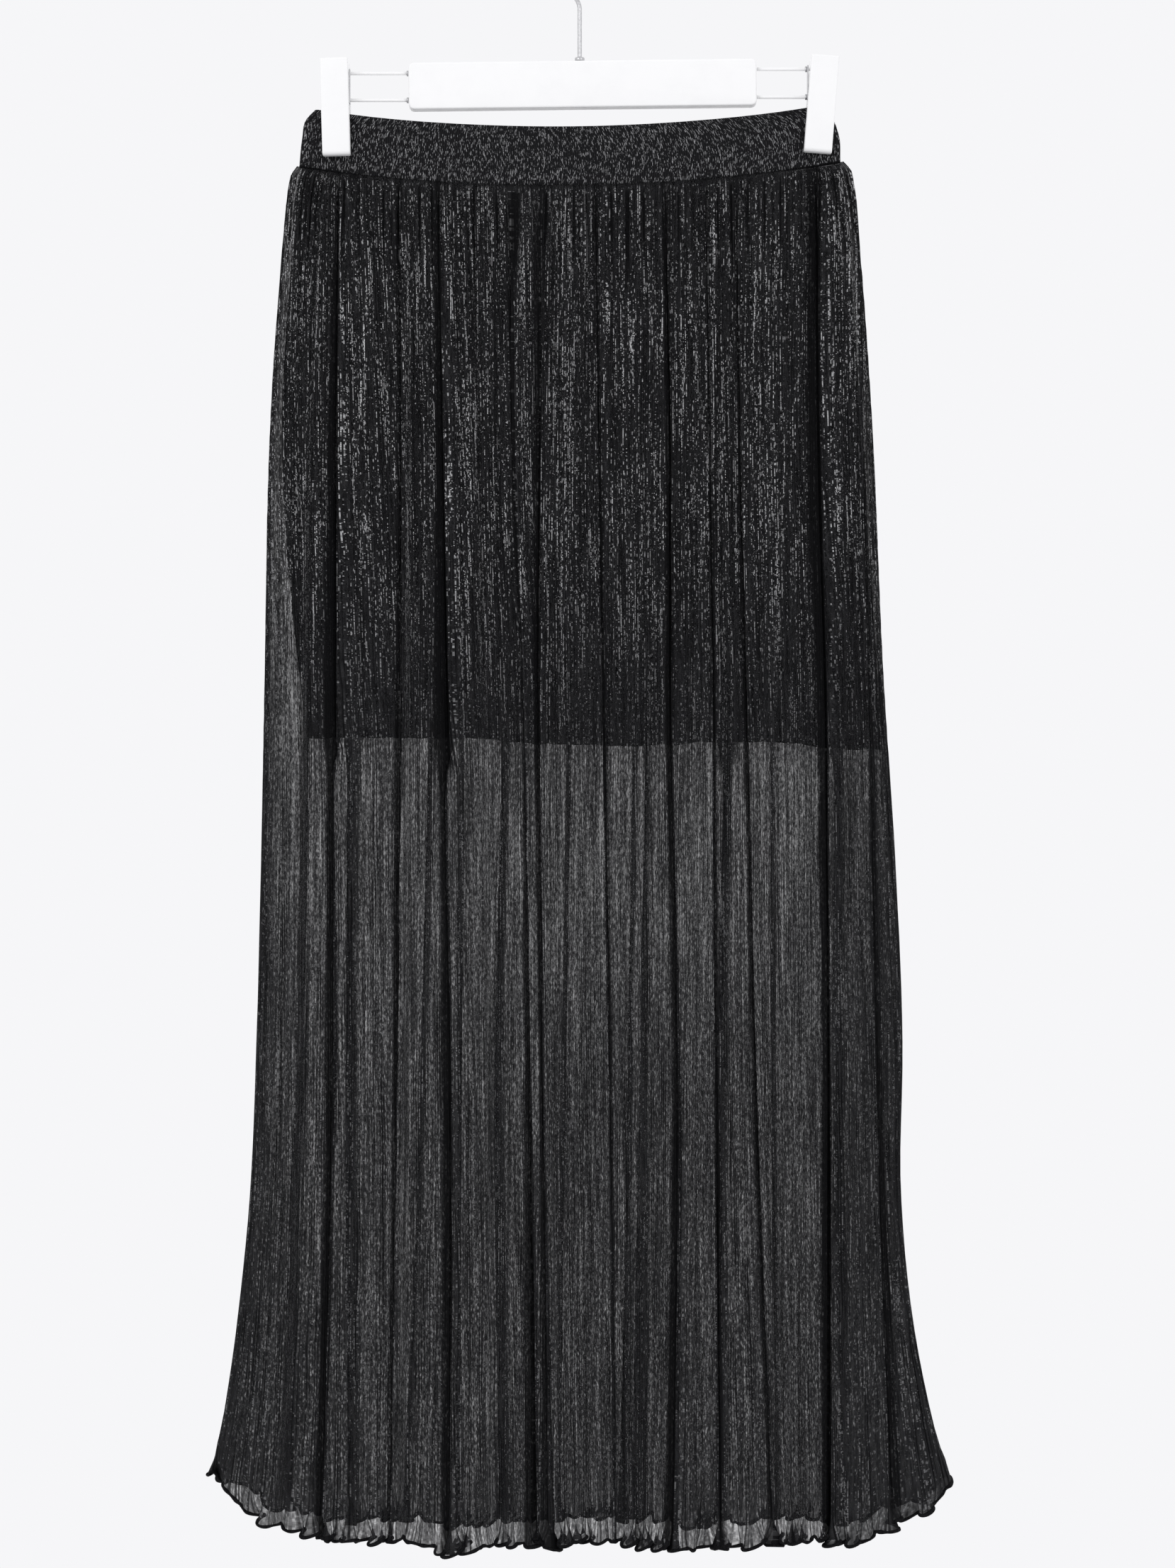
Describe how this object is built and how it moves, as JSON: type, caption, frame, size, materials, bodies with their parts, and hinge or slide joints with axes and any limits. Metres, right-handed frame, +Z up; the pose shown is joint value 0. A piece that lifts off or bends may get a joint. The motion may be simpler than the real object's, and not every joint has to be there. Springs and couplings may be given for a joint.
{
  "type": "pleated maxi skirt on a clip hanger",
  "caption": "Sheer black pleated maxi skirt with a short opaque lining, an elastic waistband and a ruffled hem, hanging from a white clip hanger with a wire hook.",
  "frame": {"origin": "inner top of the hook, where a rail carries the hanger", "axes": "+Z up, the skirt hangs down to -Z; +Y to the back, the picture's front faces -Y; +X to the right seen from the front"},
  "size_m": [0.4836, 0.1068, 1.0514],
  "materials": {
    "pleated_knit": "sheer crinkle-pleated knit with a glittering thread",
    "band_knit": "the same knit, doubled over elastic",
    "lining_jersey": "matt opaque jersey",
    "white_lacquer": "smooth white lacquer",
    "bright_steel": "bright wire"
  },
  "bodies": {
    "root": {"skirt_front": "pleated_knit", "skirt_back": "pleated_knit", "waistband": "band_knit", "lining_front": "lining_jersey", "lining_back": "lining_jersey", "hanger_bar": "white_lacquer", "rod_left": "white_lacquer", "rod_right": "white_lacquer", "jaw_front_left": "white_lacquer", "jaw_back_left": "white_lacquer", "jaw_front_right": "white_lacquer", "jaw_back_right": "white_lacquer", "hook": "bright_steel", "hook_collar": "bright_steel", "spring_left": "bright_steel", "spring_right": "bright_steel"}
  },
  "joints": []
}
